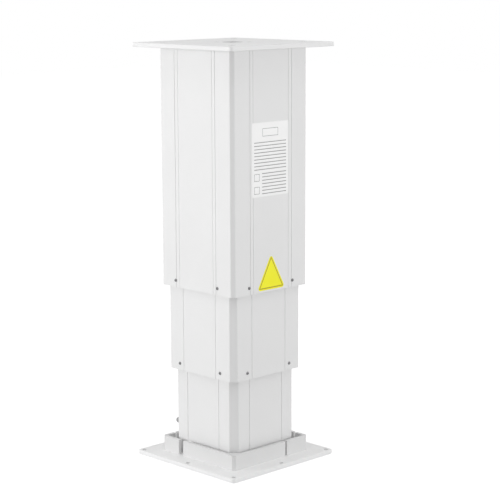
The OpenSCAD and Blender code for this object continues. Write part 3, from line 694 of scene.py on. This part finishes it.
def stickers():
    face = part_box("outer_tube")[1].x
    corners = [
        (sticker["left"], sticker["low"]), (sticker["right"], sticker["low"]),
        (sticker["right"], sticker["high"]), (sticker["left"], sticker["high"]),
    ]
    outline = roundedOutline(corners, sticker["corner"])
    label = stickerObject("plainLabel", outline, face, sticker["thick"], labelPaper())
    half = triangle["width"] / 2
    corners = [
        (triangle["centre"] - half, triangle["low"]), (triangle["centre"] + half, triangle["low"]),
        (triangle["centre"], triangle["low"] + triangle["high"]),
    ]
    outline = roundedOutline(corners, triangle["corner"])
    sign = stickerObject("yellowSticker", outline, face, triangle["thick"], yellowVinyl())
    for obj in (label, sign):
        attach(obj, "outer_stage")


stickers()
print("stage: stickers")


# Floor, light and camera

studio = {
    "floorSize": 14.0,
    "floorDrop": 0.0002,  # just under the base plate
    "seenFloor": (0.75, 0.75, 0.75, 1),  # the floor as the camera sees it
    "floor": (0.62, 0.62, 0.62),
    "floorGlow": 0.56,
    "world": 0.6,
    "leftLamp": {"place": (-2.75, 1.75, 0.62), "size": (1.6, 1.1), "power": 47.0},
    "rightLamp": {"place": (1.75, -2.75, 0.52), "size": (1.6, 0.95), "power": 29.9},
    "frontLamp": {
        "place": (-0.78, -0.78, 2.7), "size": (1.6, 1.6), "power": 9.7, "target": (0, 0, 0.05),
    },
}


def seenDirectly(tree):
    path = tree.nodes.new("ShaderNodeLightPath")
    first = maths(tree, "MAXIMUM", path.outputs["Is Camera Ray"], path.outputs["Is Glossy Ray"])
    return maths(tree, "MAXIMUM", first, path.outputs["Is Transmission Ray"])


def makeFloor():
    half, level = studio["floorSize"] / 2, -studio["floorDrop"]
    verts = [(x * half, y * half, level) for x, y in ((-1, -1), (1, -1), (1, 1), (-1, 1))]
    mat = bpy.data.materials.new("studioFloor")
    mat.use_nodes = True
    tree = mat.node_tree
    tree.nodes.remove(tree.nodes["Principled BSDF"])
    matte = tree.nodes.new("ShaderNodeBsdfDiffuse")
    matte.inputs["Color"].default_value = (*studio["floor"], 1)
    soft = tree.nodes.new("ShaderNodeBsdfDiffuse")
    soft.inputs["Color"].default_value = studio["seenFloor"]
    glow = tree.nodes.new("ShaderNodeEmission")
    glow.inputs["Strength"].default_value = studio["floorGlow"]
    both = tree.nodes.new("ShaderNodeAddShader")
    link(tree, soft.outputs[0], both.inputs[0])
    link(tree, glow.outputs[0], both.inputs[1])
    choose = tree.nodes.new("ShaderNodeMixShader")
    link(tree, seenDirectly(tree), choose.inputs[0])
    link(tree, matte.outputs[0], choose.inputs[1])
    link(tree, both.outputs[0], choose.inputs[2])
    link(tree, choose.outputs[0], tree.nodes["Material Output"].inputs["Surface"])
    floor = meshObject("studioFloor", verts, [(0, 1, 2, 3)], mat, False)


def makeWorld():
    world = bpy.data.worlds.new("studioWorld")
    world.use_nodes = True
    scene.world = world
    tree = world.node_tree
    plain = tree.nodes["Background"]
    plain.inputs["Strength"].default_value = studio["world"]
    plain.inputs["Color"].default_value = (1, 1, 1, 1)
    seen = tree.nodes.new("ShaderNodeBackground")
    seen.inputs["Color"].default_value = (1, 1, 1, 1)
    seen.inputs["Strength"].default_value = 1.0
    choose = tree.nodes.new("ShaderNodeMixShader")
    link(tree, seenDirectly(tree), choose.inputs[0])
    link(tree, plain.outputs[0], choose.inputs[1])
    link(tree, seen.outputs[0], choose.inputs[2])
    link(tree, choose.outputs[0], tree.nodes["World Output"].inputs["Surface"])


def makeLamp(name, place, size, power, target=(0, 0, 0.3)):
    data = bpy.data.lights.new(name, "AREA")
    data.shape = "RECTANGLE"
    data.size, data.size_y = size
    data.energy = power
    lamp = bpy.data.objects.new(name, data)
    scene.collection.objects.link(lamp)
    lamp.location = place
    lamp.rotation_mode = "QUATERNION"
    lamp.rotation_quaternion = (Vector(target) - Vector(place)).to_track_quat("-Z", "Y")


view = {
    "place": (-1.5651, -1.6232, 0.6931),
    "turn": 44.406,  # degrees from +Y towards +X
    "dip": 10.116,
    "roll": -0.233,
    "lens": 116.64,
    "sensor": 36,
    "farthest": 50,
    "shift": (0.0066, 0.0102),
}


def makeCamera():
    turn, dip, roll = (math.radians(view[k]) for k in ("turn", "dip", "roll"))
    level = math.cos(dip)
    ahead = Vector((math.sin(turn) * level, math.cos(turn) * level, -math.sin(dip)))
    right = Vector((math.cos(turn), -math.sin(turn), 0))
    up = right.cross(ahead)
    lean, tip = math.cos(roll), math.sin(roll)
    right, up = right * lean + up * tip, up * lean - right * tip
    data = bpy.data.cameras.new("studioCamera")
    data.lens = view["lens"]
    data.sensor_width = view["sensor"]
    data.shift_x, data.shift_y = view["shift"]
    data.clip_end = view["farthest"]
    camera = bpy.data.objects.new("studioCamera", data)
    scene.collection.objects.link(camera)
    turned = Matrix((right, up, -ahead)).transposed().to_4x4()
    camera.matrix_world = Matrix.Translation(view["place"]) @ turned
    scene.camera = camera


makeFloor()
makeWorld()
for name in ("leftLamp", "rightLamp", "frontLamp"):
    makeLamp(name, **studio[name])
makeCamera()
print("stage: studio")
